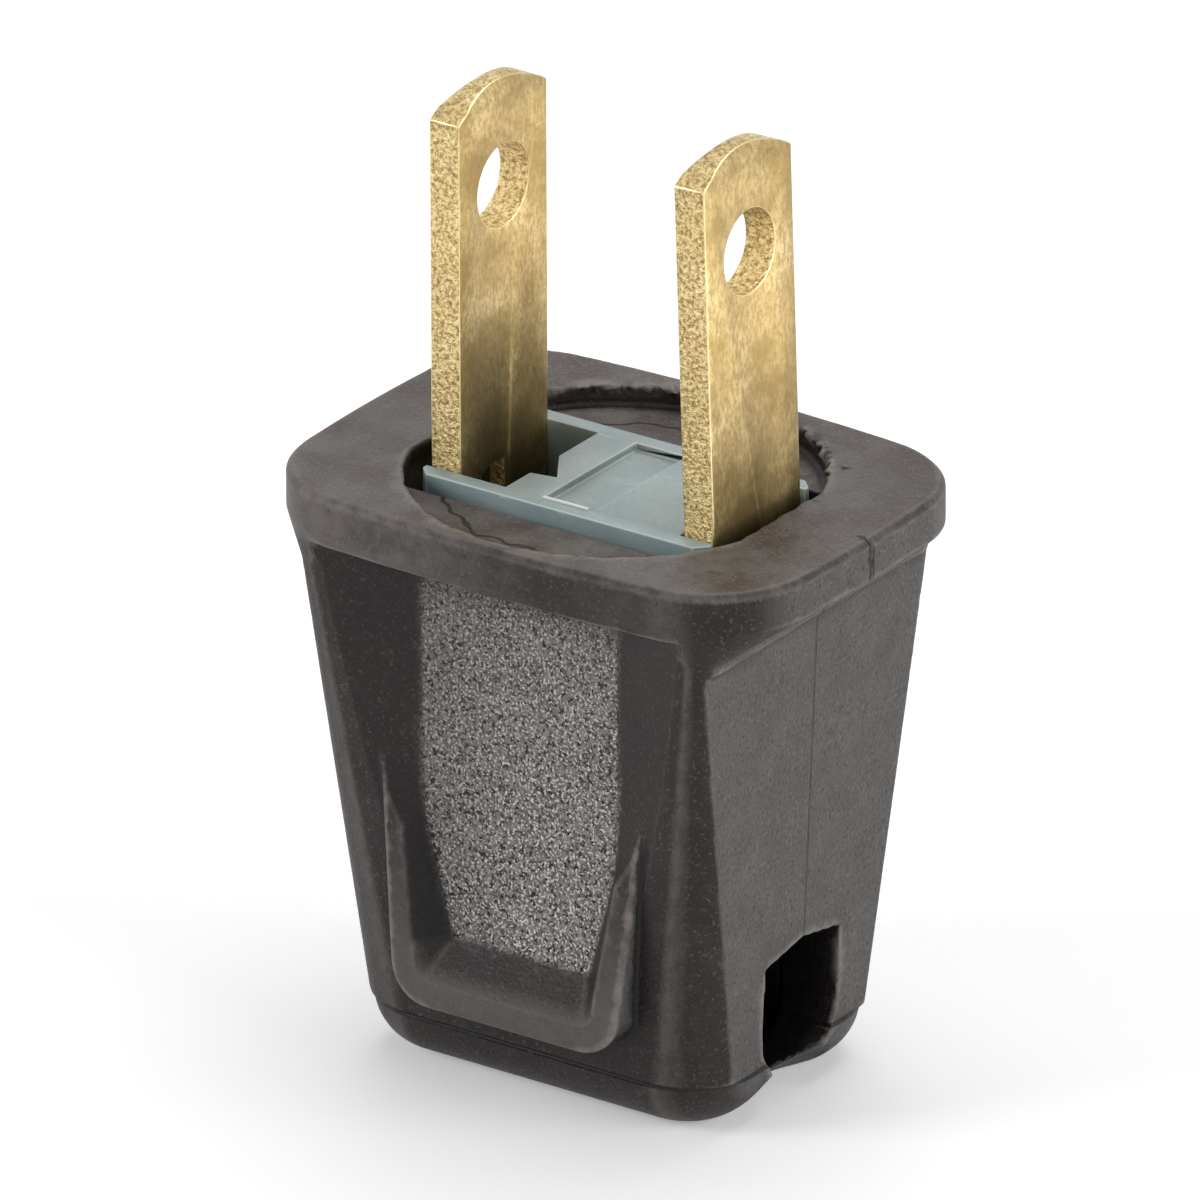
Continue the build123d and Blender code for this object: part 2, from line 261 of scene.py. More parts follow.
# %% [markdown]
# Where the two halves of the carrier's mould met, a little nylon was squeezed out and now
# stands as a thin pale strip on the near edge of the sunk panel. It is one small bar,
# stretched to its length and rounded, and it rides with the carrier.

# %% Strip of flash on the carrier
FLASH_STRIP = (2.3 * MM, 0.14 * MM, 0.12 * MM)
FLASH_STRIP_PLACE = Vector((-0.12 * MM, -3.45 * MM, flange_top - 0.25 * MM))
FLASH_STRIP_RADIUS = 0.05 * MM

bpy.ops.object.select_all(action="DESELECT")
bpy.ops.mesh.primitive_cube_add(size=1.0, location=FLASH_STRIP_PLACE)
strip = bpy.context.object
strip.name = "nylon_flash_strip"
strip.dimensions = FLASH_STRIP
bpy.ops.object.transform_apply(location=True, rotation=True, scale=True)
apply_modifier(strip, "BEVEL", width=FLASH_STRIP_RADIUS, segments=2)
bpy.ops.object.shade_smooth_by_angle(angle=SMOOTH_BELOW)
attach(strip, "carrier")
print("Strip of flash, mm:", [round(v / MM, 2) for v in strip.dimensions])

# %% [markdown]
# The housing is one moulding, so all its edges are rounded alike, inside corners too. A
# bevel would break on its many tangent curves. A voxel remesh turns it into an even skin
# of small squares instead. The skin's points are then laid back on the CAD faces, so
# these stay flat, a light smoothing rounds every edge, and thinning brings the count
# down where the skin is flat.

# %% Housing skin
VOXEL = 0.13 * MM
EDGE_SMOOTHING = 0.4
KEPT_SHARE = 0.33

skin = merged_copy("housing", "moulded_housing")
apply_modifier(skin, "REMESH", mode="VOXEL", voxel_size=VOXEL)
apply_modifier(skin, "SHRINKWRAP", target=frame["nodes"]["housing"], wrap_method="NEAREST_SURFACEPOINT")
apply_modifier(skin, "SMOOTH", factor=EDGE_SMOOTHING, iterations=1)
apply_modifier(skin, "DECIMATE", decimate_type="COLLAPSE", ratio=KEPT_SHARE,
               use_collapse_triangulate=True)
print("Points of the skin:", len(skin.data.vertices))

# %% [markdown]
# Round the mouth the moulding has a ragged lip of flash, where plastic crept between the
# halves of the mould. It is made by pushing the points near the rim about by noise, a
# coarse one and a finer one, and never upwards, so that the flange keeps its height. The
# near side of the rim was trimmed better than the far side, so it is moved less. Blender
# seeds this noise by the clock, so it gets a fixed seed, and every run gives one rim.

# %% Ragged rim of the mouth
RIM_RADIUS = 8.8 * MM
RIM_HALF_LENGTH = 8.25 * MM
RIM_REACH = 0.55 * MM
FLASH_SIZE = 0.7 * MM
FLASH_DEPTH = 0.26 * MM
FINE_FLASH_SHARE = 0.6
FINE_FLASH_FINENESS = 3
NEAR_SIDE_SHARE = 0.4
RIM_SEED = 7


def rim_nearness(point):
    """One on the rim of the mouth, fading to nothing within its reach."""
    from_axis = Vector((point.x, point.y)).length
    if abs(point.x) < RIM_HALF_LENGTH - RIM_REACH:
        across = abs(from_axis - RIM_RADIUS)
    else:
        across = abs(abs(point.x) - RIM_HALF_LENGTH) if from_axis < RIM_RADIUS else RIM_REACH
    down = abs(flange_top - point.z)
    return max(0, 1 - Vector((across, down)).length / RIM_REACH)


noise.seed_set(RIM_SEED)
moved = 0
for vertex in skin.data.vertices:
    near = rim_nearness(vertex.co)
    if near:
        ragged = noise.noise_vector(vertex.co / FLASH_SIZE)
        ragged += FINE_FLASH_SHARE * noise.noise_vector(vertex.co / FLASH_SIZE * FINE_FLASH_FINENESS)
        shift = ragged * FLASH_DEPTH * near * (1 if vertex.co.y > 0 else NEAR_SIDE_SHARE)
        shift.z = min(shift.z, 0)
        vertex.co += shift
        moved += 1
bpy.ops.object.shade_smooth()
print("Points of the rim made ragged:", moved)

# %% [markdown]
# The finish of the housing follows its shape: edges are rubbed and get a painted
# highlight, hollows and inner walls get painted shade, and only the recess floors have a
# grain. So some numbers are worked out on every point of
# the skin and kept as attributes, which a material can read. numpy does this for all
# points at once. Neighbours are averaged, so that no number jumps from point to point.

# %% Points, normals and neighbours of the skin
mesh = skin.data
count = len(mesh.vertices)
edge_ends = np.empty(len(mesh.edges) * 2, dtype=np.int32)
mesh.edges.foreach_get("vertices", edge_ends)
one, other = edge_ends.reshape(-1, 2).T
places = np.empty(count * 3, dtype=np.float32)
mesh.vertices.foreach_get("co", places)
places = places.reshape(-1, 3)
normals = np.empty(count * 3, dtype=np.float32)
mesh.vertices.foreach_get("normal", normals)
normals = normals.reshape(-1, 3)
print("Edges between neighbours:", len(one))


def settle(values, rounds):
    """Averages a number over neighbouring points."""
    shares = 1 + np.bincount(one, minlength=count) + np.bincount(other, minlength=count)
    for _ in range(rounds):
        totals = values + np.bincount(one, values[other], count) + np.bincount(other, values[one], count)
        values = totals / shares
    return values


# %% [markdown]
# The first number says how far an edge stands out. Along a mesh edge on an outer corner
# the normals open like a fan, and in a hollow they close, so the turn of the normal along
# the edge, divided by its length, is large and positive on outer edges, which are rubbed
# and get a painted highlight, and negative in hollows, which get painted shade.

# %% Edges: how far an edge stands out, for wear, painted highlights and painted shade
apart = places[other] - places[one]
bend = np.einsum("ij,ij->i", normals[other] - normals[one], apart) / np.linalg.norm(apart, axis=1)
standing_out = settle(np.bincount(one, bend, count) + np.bincount(other, bend, count), 2)
print("Edge measure at 2, 50, 90 and 98 percent:", np.percentile(standing_out, (2, 50, 90, 98)).round(3))

# %% [markdown]
# The second number marks the grained floors of the two finger recesses, with a soft
# border. The grain was cut into the mould and fades towards the flange, where it could
# not be cut so deep.

# %% Grain: the floors of the finger recesses
RECESS_FLOOR = 7.0 * MM
RECESS_TOP = flange_top - 2.6 * MM
RECESS_FOOT = flange_top - 19.6 * MM
GRAIN_HALF_WIDTH = 5 * MM
FLOOR_BAND = 0.28 * MM
FACING_FROM = 0.8
BORDER_SHARPNESS = 2.5
GRAIN_FADES = (RECESS_TOP - 2.0 * MM, RECESS_TOP - 0.8 * MM)
GRAIN_LEFT_AT_TOP = 0.45

x, y, z = places.T
on_floor = np.clip(1 - np.abs(np.abs(y) - RECESS_FLOOR) / FLOOR_BAND, 0, 1)
facing_out = np.clip((np.abs(normals[:, 1]) - FACING_FROM) / (1 - FACING_FROM), 0, 1)
beside_recess = (z > RECESS_FOOT) & (z < RECESS_TOP)
fading = np.interp(z, GRAIN_FADES, (1, GRAIN_LEFT_AT_TOP))
grained = np.clip(BORDER_SHARPNESS * on_floor * facing_out, 0, 1) * fading
grained = settle(grained * (beside_recess & (np.abs(x) < GRAIN_HALF_WIDTH)), 2)
print("Points with grain:", int((grained > 0.5).sum()))

# %% [markdown]
# The third number is painted shade. It darkens the inside of the cord outlet, the wall of
# the mouth and the side walls of the recesses. The walls away from the outlet are painted
# darkest, and most of all low down, behind the tall sides of the finger stop, which shade
# them.

# %% Painted shade: outlet, mouth and recess walls
OUTLET_HALF_WIDTH = 2.9 * MM
OUTLET_TOP = 8.2 * MM
OUTLET_FOOT = 0.6 * MM
OUTLET_END = 9.3 * MM
END_DRAFT = 0.04
OUTLET_SHADE_FROM_EDGE = 1.2 * MM
MOUTH_DEPTH = 0.9 * MM
MOUTH_MARGIN = 0.1 * MM
MOUTH_PAINTED_SHADE = 0.72
STEEP_WITHIN = (2 / 15, 0.8)
WALL_SHADE_HEIGHTS, WALL_PAINTED_SHADE = (8 * MM, 15 * MM), (0.95, 0.55)
OUTLET_SIDE_PAINTED_SHADE = 0.45
BEHIND_FLOOR = 0.2 * MM
FACING_GAIN = 2

# Painted shade: deepest inside the outlet, on the mouth wall, and low on the recess walls away from the
# outlet.
past_face = OUTLET_END + z * END_DRAFT - x
in_outlet = (np.abs(y) < OUTLET_HALF_WIDTH) & (z < OUTLET_TOP) & (z > OUTLET_FOOT) & (x > 0)
painted_shade = np.clip(past_face / OUTLET_SHADE_FROM_EDGE, 0, 1) * in_outlet
in_mouth = np.hypot(x, y) < RIM_RADIUS + 2 * MOUTH_MARGIN
in_mouth &= z > flange_top - MOUTH_DEPTH - MOUTH_MARGIN
steep = np.interp(np.abs(normals[:, 2]), STEEP_WITHIN, (1, 0))
painted_shade = np.maximum(painted_shade, settle(MOUTH_PAINTED_SHADE * steep * in_mouth, 1))
in_recess = beside_recess & (np.abs(y) > RECESS_FLOOR - BEHIND_FLOOR)
facing_in = np.clip(-FACING_GAIN * normals[:, 0] * np.sign(x), 0, 1)
painted_shade_level = np.where(x > 0, OUTLET_SIDE_PAINTED_SHADE, np.interp(z, WALL_SHADE_HEIGHTS, WALL_PAINTED_SHADE))
painted_shade = np.maximum(painted_shade, settle(painted_shade_level * facing_in * in_recess, 1))
print("Points with grime:", int((painted_shade > 0.3).sum()))

# %% [markdown]
# The three numbers go onto the mesh as attributes, and the skin can stand in for the
# housing.

# %% Attributes of the housing skin
for name, values in (("wear_and_painted_light", standing_out), ("grain", grained), ("painted_shade", painted_shade)):
    kept = mesh.attributes.new(name, "FLOAT", "POINT")
    kept.data.foreach_set("value", values.astype(np.float32))
stand_in(skin, "housing", "housing")

# %% [markdown]
# Colours are chosen as sRGB hex values, as read off a picture, and turned to the linear
# values that shaders work in. One helper adds any node with its settings and its links
# and hands back one of its outputs, so that a pattern reads as one line. Inputs are
# given in order, or by name where only some are set. Sizes of patterns are given in real
# millimetres. The node used most is Map Range: with a pattern, a start and an end it makes
# a mask that is 0 where the pattern is at the start and 1 at the end, and two more numbers
# give the mask other limits. Masks are joined by arithmetic, and a Mix lays one colour
# over another where its mask is 1.

# %% Helpers for materials
SRGB_KNEE, SRGB_SLOPE, SRGB_OFFSET, SRGB_POWER = 0.04045, 12.92, 0.055, 2.4


def linear(hex_colour):
    """An sRGB hex value as a linear RGBA colour."""
    channels = [int(hex_colour[i:i + 2], 16) / 255 for i in (1, 3, 5)]
    return (*[c / SRGB_SLOPE if c <= SRGB_KNEE else ((c + SRGB_OFFSET) / (1 + SRGB_OFFSET)) ** SRGB_POWER
              for c in channels], 1)


def add(tree, kind, inputs=(), output=0, **settings):
    """Adds a node, sets its properties, fills its inputs with values or links, and gives an output."""
    new = tree.nodes.new("ShaderNode" + kind)
    for name, value in settings.items():
        setattr(new, name, value)
    for socket, value in inputs.items() if isinstance(inputs, dict) else enumerate(inputs):
        if isinstance(value, bpy.types.NodeSocket):
            tree.links.new(value, new.inputs[socket])
        else:
            new.inputs[socket].default_value = value
    return new.outputs[output] if new.outputs else new


def new_material(name):
    """An empty node material, and its node tree."""
    material = bpy.data.materials.new(name)
    material.use_nodes = True
    material.node_tree.nodes.clear()
    return material, material.node_tree


def per_metre(size_mm):
    """The texture scale that makes one feature this many millimetres wide."""
    return 1 / (size_mm * MM)


TIMES, PLUS, MINUS = {"operation": "MULTIPLY"}, {"operation": "ADD"}, {"operation": "SUBTRACT"}
SIZE_OF, LARGER = {"operation": "ABSOLUTE"}, {"operation": "MAXIMUM"}
BLEND = {"data_type": "RGBA", "output": 2}
AMOUNT, UNDER, OVER = 0, 6, 7
print("A middle grey as a linear value:", round(linear("#808080")[0], 3))

# %% [markdown]
# The housing is a dark brown thermoplastic, injection moulded, handled and scuffed. Its
# colour is painted nearly black in corners and hollows as shade, and dusty grey on the
# flat faces that hands and tables touch, partly dust and partly a painted sheen, and it is
# satin rather than glossy. Everything uneven in it comes from a few soft noise patterns of
# real sizes, from clouds a few millimetres wide to single pits.
# The real pits and glints are finer than a tenth of a millimetre, about two dots of the
# render, so they are drawn a little coarser, as wide as it takes for them to show. The
# glints are painted highlights, pale specks in the colour.

# %% Moulded thermoplastic: patterns and what the mesh tells
PLASTIC_PATTERNS = {  # name: (width in mm, octaves, roughness, distortion)
    "clouds": (3.2, 5, 0.55, 0),
    "smudges": (0.8, 5, 0.65, 0.6),
    "blotches": (1.6, 3, 0.6, 0),
    "pits": (0.16, 3, 0.6, 0),
    # glints: pale specks painted as highlights
    "glints": (0.13, 2, 0.6, 0),
    "wrinkles": (0.22, 2, 0.6, 0.3),
    "waves": (2.4, 2, 0.55, 0),
    "tears": (0.9, 4, 0.7, 0),
}
plastic, tree = new_material("moulded_brown_thermoplastic")
place = add(tree, "TexCoord", output="Object")
clouds, smudges, blotches, pits, glints, wrinkles, waves, tears = (
    add(tree, "TexNoise", {"Vector": place, "Scale": per_metre(width), "Detail": octaves,
                           "Roughness": roughness, "Distortion": distortion})
    for width, octaves, roughness, distortion in PLASTIC_PATTERNS.values())
wear_and_painted_light, grain, painted_shade = (add(tree, "Attribute", output="Fac", attribute_name=name)
                      for name in ("wear_and_painted_light", "grain", "painted_shade"))
along_x, along_y, along_z = add(tree, "SeparateXYZ", (place,)).node.outputs
facing = add(tree, "SeparateXYZ", (add(tree, "NewGeometry", output="Normal"),)).node.outputs
end_on = add(tree, "Math", (facing["X"],), **SIZE_OF)
aside = add(tree, "Math", (along_y,), **SIZE_OF)
print("Patterns in the housing's plastic:", len(PLASTIC_PATTERNS))

# %% [markdown]
# The finish is painted in layers, each with a mask that says where it lies. The base is
# dark, with clouds and smudges. The rounded corners beside the recesses take a paler
# strip, which is a painted highlight. Then come pale and dark pits, the pale ones painted
# glints, and the left part of the flange's front band, which was scuffed.

# %% Moulded thermoplastic: base, painted highlight on the corners, pits and front band
CORNER_BEGINS, CORNER_ENDS = (0.03, 0.15), (0.2, 0.45)
BAND_HEIGHTS = (RECESS_TOP, RECESS_TOP + 0.4 * MM)
BAND_REACH = (3 * MM, -4 * MM)

# A paler strip on the rounded corners beside the recesses, painted as a highlight.
corner_highlight = add(tree, "Math", (add(tree, "MapRange", (end_on, *CORNER_BEGINS)),
                            add(tree, "MapRange", (end_on, *CORNER_ENDS))), **MINUS)
corner_highlight = add(tree, "Math", (corner_highlight, add(tree, "MapRange", (painted_shade, 0, 0.2, 0.8, 0))), **TIMES)
corner_highlight = add(tree, "Math", (corner_highlight, add(tree, "MapRange", (smudges, 0.3, 0.6, 0.4, 1))), **TIMES)
band = add(tree, "Math", (add(tree, "MapRange", (along_z, *BAND_HEIGHTS)),
                          add(tree, "MapRange", (along_x, *BAND_REACH, 0, 0.75))), **TIMES)
band = add(tree, "Math", (band, add(tree, "MapRange", (smudges, 0.35, 0.6, 0.4, 1))), **TIMES)

colour = linear("#1b1514")
for mask, tint in (
        (add(tree, "MapRange", (clouds, 0.35, 0.65)), "#282120"),
        (add(tree, "MapRange", (smudges, 0.52, 0.75, 0, 0.45)), "#48423f"),
        # the corner strip: a painted highlight
        (corner_highlight, "#5f5956"),
        # pale pits: painted glints
        (add(tree, "MapRange", (pits, 0.58, 0.68, 0, 0.75)), "#5e5551"),
        (add(tree, "MapRange", (pits, 0.4, 0.3, 0, 0.6)), "#0d0a09"),
        (band, "#6b6461")):
    colour = add(tree, "Mix", {AMOUNT: mask, UNDER: colour, OVER: linear(tint)}, **BLEND)
print("Nodes up to the pits and the front band:", len(tree.nodes))

# %% [markdown]
# The flat end panels are an even grey, partly dust and partly a painted sheen, with dark
# and pale pits, the pale ones painted glints. The flange's top is browner and dusty, with
# painted glints. Both are found by the way that they face. The proud rim of the finger
# stop is found by its distance from the middle, and is painted pale, partly as rubbing
# and partly as a painted highlight.

# %% Moulded thermoplastic: end panels, flange top and finger stop
STOP_STANDS_OUT = (7.9 * MM, 8.4 * MM)
STOP_HEIGHTS = (14 * MM, 12 * MM)

# The end panels are painted greyer, partly as dust and partly as a painted sheen.
panel_dust_and_sheen = add(tree, "Math", (add(tree, "MapRange", (end_on, 0.85, 0.98)),
                            add(tree, "MapRange", (clouds, 0.2, 0.6, 0.88, 1))), **TIMES)
even_grey = linear("#4b4947")
for mask, tint in (
        (add(tree, "MapRange", (blotches, 0.35, 0.65)), "#555351"),
        (add(tree, "MapRange", (pits, 0.55, 0.66, 0, 0.9)), "#2f2b29"),
        # pale pits: painted glints
        (add(tree, "MapRange", (pits, 0.42, 0.32, 0, 0.7)), "#6f6c69")):
    even_grey = add(tree, "Mix", {AMOUNT: mask, UNDER: even_grey, OVER: linear(tint)}, **BLEND)

flange = add(tree, "Math", (add(tree, "MapRange", (facing["Z"], 0.75, 0.98)),
                            add(tree, "MapRange", (smudges, 0.28, 0.5, 0.5, 1))), **TIMES)
dusty_brown = linear("#453b37")
for mask, tint in (
        (add(tree, "MapRange", (clouds, 0.38, 0.62)), "#615d5b"),
        # glints: painted highlights
        (add(tree, "MapRange", (glints, 0.58, 0.72, 0, 0.6)), "#8a8581")):
    dusty_brown = add(tree, "Mix", {AMOUNT: mask, UNDER: dusty_brown, OVER: linear(tint)}, **BLEND)

# The finger stop's rim is painted pale, partly as rubbing and partly as a painted highlight.
stop_rub_and_highlight = add(tree, "Math", (add(tree, "MapRange", (aside, *STOP_STANDS_OUT)),
                          add(tree, "MapRange", (along_z, *STOP_HEIGHTS, 0, 0.9))), **TIMES)
stop_rub_and_highlight = add(tree, "Math", (stop_rub_and_highlight, add(tree, "MapRange", (smudges, 0.3, 0.6, 0.7, 1))), **TIMES)
for mask, tint in ((panel_dust_and_sheen, even_grey), (flange, dusty_brown), (stop_rub_and_highlight, linear("#5f5a57"))):
    colour = add(tree, "Mix", {AMOUNT: mask, UNDER: colour, OVER: tint}, **BLEND)
print("Nodes with the panels, the flange top and the stop:", len(tree.nodes))

# %% [markdown]
# Where an edge stands out it is rubbed pale, in patches, which is wear and also a painted
# highlight, and hollows are painted nearly black as shade. Both read the edge measure that
# was kept on the points.

# %% Moulded thermoplastic: rubbed, highlit edges and painted shade in hollows
# Outer edges are painted pale, as wear and as a highlight; hollows are painted near black, as shade.
rubbed_and_highlit = add(tree, "Math", (add(tree, "MapRange", (wear_and_painted_light, 0.5, 1.1)),
                            add(tree, "MapRange", (smudges, 0.35, 0.6, 0.3, 0.9))), **TIMES)
hollow_shade = add(tree, "MapRange", (wear_and_painted_light, -0.15, -0.9, 0, 0.9))
for mask, tint in ((rubbed_and_highlit, "#837d78"), (hollow_shade, "#0d0a09")):
    colour = add(tree, "Mix", {AMOUNT: mask, UNDER: colour, OVER: linear(tint)}, **BLEND)

# %% [markdown]
# The recess floors have a leathery grain. Its hollows are dark, the tops of its wrinkles
# are pale, and the tallest carry painted highlights as glints. Tops and glints are painted
# darker towards the top of the recess, and darker towards the left wall as that wall's
# shadow.

# %% Moulded thermoplastic: grain of the recess floors
# Painted shading of the grain: darker towards the top, and darker towards the left wall, as its shadow.
painted_grain_shading = add(tree, "Math", (add(tree, "MapRange", (along_z, RECESS_FOOT, RECESS_TOP, 1, 0.6)),
                             add(tree, "MapRange", (along_x, -GRAIN_HALF_WIDTH, 0, 0.55, 1))), **TIMES)
ridges = add(tree, "Math", (add(tree, "MapRange", (wrinkles, 0.38, 0.66)),
                            add(tree, "MapRange", (blotches, 0.3, 0.6, 0.7, 1))), **TIMES)
leathery = linear("#120e0d")
for mask, tint in (
        (add(tree, "MapRange", (wrinkles, 0.36, 0.52)), "#534e4a"),
        (add(tree, "Math", (painted_grain_shading, ridges), **TIMES), "#a6a19c"),
        # glints: painted highlights
        (add(tree, "Math", (painted_grain_shading, add(tree, "MapRange", (glints, 0.54, 0.62))), **TIMES), "#efebe6")):
    leathery = add(tree, "Mix", {AMOUNT: mask, UNDER: leathery, OVER: linear(tint)}, **BLEND)
colour = add(tree, "Mix", {AMOUNT: grain, UNDER: colour, OVER: leathery}, **BLEND)

# %% [markdown]
# Three thin dark lines cross the moulding. The parting line runs up the middle of each
# end panel, where the halves of the mould met. A seam runs round the closed foot. The
# third is a short split in the flange above the outlet, torn and so not straight. Each is
# drawn where a distance is near nothing: the distance is measured, its sign is dropped,
# and a narrow band of it is kept. The real lines are a few hundredths of a millimetre
# wide, and these are drawn wider, so that they show.

# %% Moulded thermoplastic: parting line, foot seam and split
SEAM_EDGE = 0.11 * MM
FOOT_SEAM = 2.4 * MM
SPLIT_EDGE = 0.14 * MM
SPLIT_BEGINS = (12.0 * MM, 12.1 * MM)
TEAR = 1.4 * MM

parting = add(tree, "Math", (add(tree, "MapRange", (aside, 0.3 * SEAM_EDGE, SEAM_EDGE, 1, 0)),
                             add(tree, "MapRange", (end_on, 0.5, 0.7))), **TIMES)
from_seam = add(tree, "Math", (add(tree, "Math", (along_z, FOOT_SEAM), **MINUS),), **SIZE_OF)
seam = add(tree, "Math", (add(tree, "MapRange", (from_seam, 0.4 * SEAM_EDGE, SEAM_EDGE, 1, 0)),
                          add(tree, "MapRange", (clouds, 0.3, 0.42))), **TIMES)
torn = add(tree, "Math", (along_y, add(tree, "Math", (tears, TEAR), **TIMES)), **PLUS)
torn = add(tree, "Math", (add(tree, "Math", (torn, TEAR / 2), **MINUS),), **SIZE_OF)
split = add(tree, "Math", (add(tree, "MapRange", (torn, 0.7 * SPLIT_EDGE, SPLIT_EDGE, 1, 0)),
                           add(tree, "MapRange", (along_x, *SPLIT_BEGINS))), **TIMES)
line = add(tree, "Math", (add(tree, "Math", (parting, 0.5), **TIMES), seam), **LARGER)
line = add(tree, "Math", (line, split), **LARGER)

# %% [markdown]
# A fourth line is the wavy border of the flash that lies on the ledge round the mouth. It
# is a circle about the plug's axis, pushed in and out by slow noise, and it shows only at
# the height of the ledge. All lines are dark, and the inner walls are painted dark as shade.

# %% Moulded thermoplastic: border of the flash, and painted shade on the inner walls
FLASH_LINE_RADIUS = 7.9 * MM
FLASH_LINE_WAVES = 1.8 * MM
FLASH_LINE_EDGE = (0.04 * MM, 0.1 * MM)
LEDGE_EDGE = (0.1 * MM, 0.2 * MM)

outward = add(tree, "VectorMath", (place, (1, 1, 0)), **TIMES)
outward = add(tree, "VectorMath", (outward,), output="Value", operation="LENGTH")
outward = add(tree, "Math", (outward, add(tree, "Math", (waves, FLASH_LINE_WAVES), **TIMES)), **PLUS)
from_flash = add(tree, "Math", (add(tree, "Math", (outward, FLASH_LINE_RADIUS), **MINUS),), **SIZE_OF)
from_ledge = add(tree, "Math", (along_z, flange_top - MOUTH_DEPTH), **MINUS)
from_ledge = add(tree, "Math", (from_ledge,), **SIZE_OF)
flash = add(tree, "Math", (add(tree, "MapRange", (from_flash, *FLASH_LINE_EDGE, 1, 0)),
                           add(tree, "MapRange", (from_ledge, *LEDGE_EDGE, 1, 0))), **TIMES)
line = add(tree, "Math", (line, flash), **LARGER)
# Dark lines, and then painted shade on the inner walls.
for mask, tint in ((line, "#0d0a09"), (painted_shade, "#0b0807")):
    colour = add(tree, "Mix", {AMOUNT: mask, UNDER: colour, OVER: linear(tint)}, **BLEND)

# %% [markdown]
# The same patterns make the bump: pits and smudges everywhere, wrinkles on the grained
# floors, and the lines sunk. The grain is also a little shinier. The specular level is
# below the usual 0.5, because the world is white in reflections, and at its full level
# that haze would turn the dark plastic grey.

# %% Moulded thermoplastic: bump and shader
PLASTIC_IOR = 1.5
PLASTIC_SPECULAR = 0.3
PLASTIC_BUMP_DEPTH = 0.07 * MM
PIT_SHARE, SMUDGE_SHARE, GRAIN_SHARE = 0.8, 0.35, 2.8
GRAIN_SHINE = 0.12

height = add(tree, "Math", (add(tree, "Math", (pits, PIT_SHARE), **TIMES),
                            add(tree, "Math", (smudges, SMUDGE_SHARE), **TIMES)), **PLUS)
grain_height = add(tree, "Math", (add(tree, "Math", (wrinkles, grain), **TIMES), GRAIN_SHARE), **TIMES)
height = add(tree, "Math", (height, grain_height), **PLUS)
height = add(tree, "Math", (height, line), **MINUS)
bump = add(tree, "Bump", {"Height": height, "Strength": 1.0, "Distance": PLASTIC_BUMP_DEPTH})
shine = add(tree, "Math", (add(tree, "MapRange", (smudges, 0.3, 0.7, 0.4, 0.56)),
                           add(tree, "Math", (grain, GRAIN_SHINE), **TIMES)), **MINUS)
shader = add(tree, "BsdfPrincipled", {
    "Base Color": colour, "Roughness": shine, "IOR": PLASTIC_IOR,
    "Specular IOR Level": PLASTIC_SPECULAR, "Normal": bump})
add(tree, "OutputMaterial", (shader,))
skin.data.materials.append(plastic)
print("Nodes in the housing's plastic:", len(tree.nodes))

# %% [markdown]
# The carrier is natural nylon, moulded and left unpainted. It is milky and a little
# translucent, so light enters it and comes out nearby, which lifts the thin walls. Its
# colour is painted as lit, milky on the outer walls and near the top, and as shade, a dark
# blue green, in the deep pocket and below. Its top is satin, with a few pale scratches
# that all run one way. The real scratches are hair thin and these are drawn wider.

# %% Natural nylon: patterns and layers
NYLON_PATTERNS = {  # name: (width in mm, octaves, roughness)
    "haze": (2.4, 4, 0.55),
    "marks": (0.25, 3, 0.7),
    "scratches": (0.16, 3, 0.6),
}
SCRATCH_TURN = (0, 0, 0.5)
SCRATCH_STRETCH = (0.12, 1, 1)
OUTER_WALL = (3.8 * MM, 4.05 * MM)
POCKET_DEPTHS = (flange_top - 5 * MM, flange_top - 0.2 * MM)

natural_nylon, tree = new_material("natural_nylon")
place = add(tree, "TexCoord", output="Object")
drawn_out = add(tree, "Mapping", {"Vector": place, "Rotation": SCRATCH_TURN, "Scale": SCRATCH_STRETCH})
haze, marks, scratches = (
    add(tree, "TexNoise", {"Vector": where, "Scale": per_metre(width), "Detail": octaves,
                           "Roughness": roughness, "Distortion": 0})
    for where, (width, octaves, roughness) in zip((place, place, drawn_out), NYLON_PATTERNS.values()))
_, along_y, along_z = add(tree, "SeparateXYZ", (place,)).node.outputs
# Painted light and shade: milky where painted as lit, on the outer walls and near the top; dark blue
# green as shade in the pocket and below.
outer_wall = add(tree, "MapRange", (add(tree, "Math", (along_y,), **SIZE_OF), *OUTER_WALL, 0, 0.85))
lit = add(tree, "Math", (outer_wall, add(tree, "MapRange", (along_z, *POCKET_DEPTHS))), **LARGER)
milky = add(tree, "Mix", {AMOUNT: add(tree, "MapRange", (haze, 0.35, 0.65)),
                          UNDER: linear("#96a9ac"), OVER: linear("#a5b5b7")}, **BLEND)
colour = linear("#2f4448")
scratched = add(tree, "Math", (lit, add(tree, "MapRange", (scratches, 0.64, 0.72, 0, 0.6))), **TIMES)
for mask, tint in (
        (lit, milky),
        (add(tree, "MapRange", (marks, 0.55, 0.75, 0, 0.35)), linear("#7d8886")),
        (scratched, linear("#d3dad8"))):
    colour = add(tree, "Mix", {AMOUNT: mask, UNDER: colour, OVER: tint}, **BLEND)

# %% [markdown]
# Light that enters the nylon travels about a millimetre, red a little less than blue. The
# rounded edges are paler than the rest, rubbed and with a painted highlight, and the
# strip of flash is thin, and so paler too.

# %% Natural nylon: shader, pale edges and strip of flash
NYLON_IOR = 1.53
NYLON_BUMP_DEPTH = 0.03 * MM
NYLON_BUMP_STRENGTH = 0.6
NYLON_TRAVEL = (0.9 * MM, 1.1 * MM, 1.2 * MM)
NYLON_SUBSURFACE = 0.25

